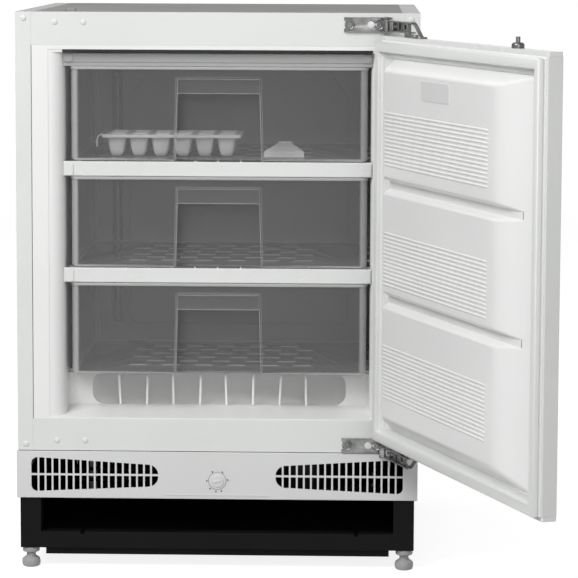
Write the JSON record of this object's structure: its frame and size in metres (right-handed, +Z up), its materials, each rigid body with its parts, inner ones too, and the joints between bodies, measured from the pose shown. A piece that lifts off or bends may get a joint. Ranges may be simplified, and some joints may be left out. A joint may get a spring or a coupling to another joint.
{
  "type": "integrated undercounter freezer",
  "caption": "Built-under freezer with an open right-hung door on two-pivot hinges, clear sliding drawers, ice tray and vented plinth panel.",
  "frame": {"origin": "on the floor, under the middle of the cabinet's width and depth", "axes": "+X to the right seen from the front, -Y out of the front, +Z up"},
  "size_m": [0.765, 1.1562, 0.8339],
  "materials": {
    "cabinet_white": "satin white enamel on steel",
    "top_grey": "matt grey coated steel",
    "galvanised": "dull galvanised sheet",
    "liner_white": "satin white plastic",
    "trim_white": "satin white plastic",
    "trim_grey": "satin grey plastic",
    "foam": "rigid foam, hidden",
    "clear_smoke": "clear smoky plastic, glossy",
    "wire_white": "white coated wire",
    "tray_white": "satin white plastic",
    "base_black": "matt black paint",
    "vent_white": "satin white plastic",
    "foot_clear": "milky grey plastic",
    "black_plastic": "matt black plastic",
    "hinge_steel": "bright plated steel",
    "compressor_black": "semi-gloss black paint",
    "copper_black": "black painted tube",
    "rubber_black": "matt black rubber",
    "gasket_white": "soft white vinyl",
    "door_white": "satin white enamel on steel"
  },
  "bodies": {
    "cabinet": {"side_panel_left": "cabinet_white", "side_panel_right": "cabinet_white", "top_panel": "top_grey", "back_panel": "galvanised", "top_rail": "cabinet_white", "bottom_rail": "cabinet_white", "machine_deck": "galvanised", "inner_liner": "liner_white", "rear_plate": "liner_white", "insulation_foam": "foam", "top_trim": "trim_grey", "upper_shelf_trim": "trim_white", "lower_shelf_trim": "trim_white", "upper_shelf_wires": "wire_white", "lower_shelf_wires": "wire_white", "bottom_shelf_wires": "wire_white", "bottom_shelf_legs": "wire_white", "base_frame": "base_black", "base_tray": "base_black", "machine_cover": "base_black", "power_inlet": "black_plastic", "vent_panel": "vent_white", "thermostat_housing": "black_plastic", "compressor_rail": "galvanised", "compressor_grommets": "rubber_black", "compressor": "compressor_black", "condenser_coil": "copper_black", "condenser_uprights": "galvanised", "hinge_plate_upper": "hinge_steel", "hinge_plate_lower": "hinge_steel", "hinge_screws": "hinge_steel", "hinge_slot_caps": "trim_white", "screw_caps": "trim_white"},
    "hinge_arms": {"hinge_arm_upper": "hinge_steel", "hinge_arm_lower": "hinge_steel"},
    "door": {"door_outer_panel": "door_white", "door_top_cap": "trim_white", "door_bottom_cap": "trim_white", "door_inner_liner": "liner_white", "door_foam": "foam", "door_gasket": "gasket_white", "door_label_plate": "trim_white", "door_adjuster": "hinge_steel", "door_bracket_upper": "hinge_steel", "door_bracket_lower": "hinge_steel", "bracket_screws": "hinge_steel"},
    "drawer_top_body": {"drawer_top": "clear_smoke"},
    "drawer_middle_body": {"drawer_middle": "clear_smoke"},
    "drawer_bottom_body": {"drawer_bottom": "clear_smoke"},
    "ice_tray_body": {"ice_tray": "tray_white"},
    "ice_scraper_body": {"ice_scraper": "tray_white"},
    "thermostat_knob_body": {"thermostat_knob": "vent_white"},
    "foot_front_left_body": {"foot_front_left": "foot_clear"},
    "foot_front_right_body": {"foot_front_right": "foot_clear"},
    "foot_rear_left_body": {"foot_rear_left": "foot_clear"},
    "foot_rear_right_body": {"foot_rear_right": "foot_clear"}
  },
  "joints": [
    {"name": "hinge_arm_swing", "type": "hinge", "parent": "cabinet", "child": "hinge_arms", "pos_m": [0.248, -0.282, 0.50395], "axis": [0, 0, 1], "range_deg": [0, 78.5]},
    {"name": "door_swing", "type": "hinge", "parent": "hinge_arms", "child": "door", "pos_m": [0.24795, -0.32691, 0.50395], "axis": [0, 0, 1], "range_deg": [-188.7, 0]},
    {"name": "drawer_top_slide", "type": "slide", "parent": "cabinet", "child": "drawer_top_body", "axis": [0, -1, 0], "range_m": [0, 0.28]},
    {"name": "drawer_middle_slide", "type": "slide", "parent": "cabinet", "child": "drawer_middle_body", "axis": [0, -1, 0], "range_m": [0, 0.28]},
    {"name": "drawer_bottom_slide", "type": "slide", "parent": "cabinet", "child": "drawer_bottom_body", "axis": [0, -1, 0], "range_m": [0, 0.28]},
    {"name": "ice_tray_lift", "type": "slide", "parent": "drawer_top_body", "child": "ice_tray_body", "axis": [0, 0, 1], "range_m": [0, 0.06]},
    {"name": "ice_scraper_lift", "type": "slide", "parent": "drawer_top_body", "child": "ice_scraper_body", "axis": [0, 0, 1], "range_m": [0, 0.06]},
    {"name": "thermostat_turn", "type": "hinge", "parent": "cabinet", "child": "thermostat_knob_body", "pos_m": [0.00085, -0.2725, 0.1353], "axis": [0, -1, 0], "range_deg": [0, 270]},
    {"name": "foot_front_left_reach", "type": "slide", "parent": "cabinet", "child": "foot_front_left_body", "axis": [0, 0, -1], "range_m": [0, 0.03]},
    {"name": "foot_front_right_reach", "type": "slide", "parent": "cabinet", "child": "foot_front_right_body", "axis": [0, 0, -1], "range_m": [0, 0.03]},
    {"name": "foot_rear_left_reach", "type": "slide", "parent": "cabinet", "child": "foot_rear_left_body", "axis": [0, 0, -1], "range_m": [0, 0.03]},
    {"name": "foot_rear_right_reach", "type": "slide", "parent": "cabinet", "child": "foot_rear_right_body", "axis": [0, 0, -1], "range_m": [0, 0.03]}
  ],
  "couplings": [
    {"joint": "hinge_arm_swing", "follows": "door_swing", "ratio": -0.416}
  ]
}
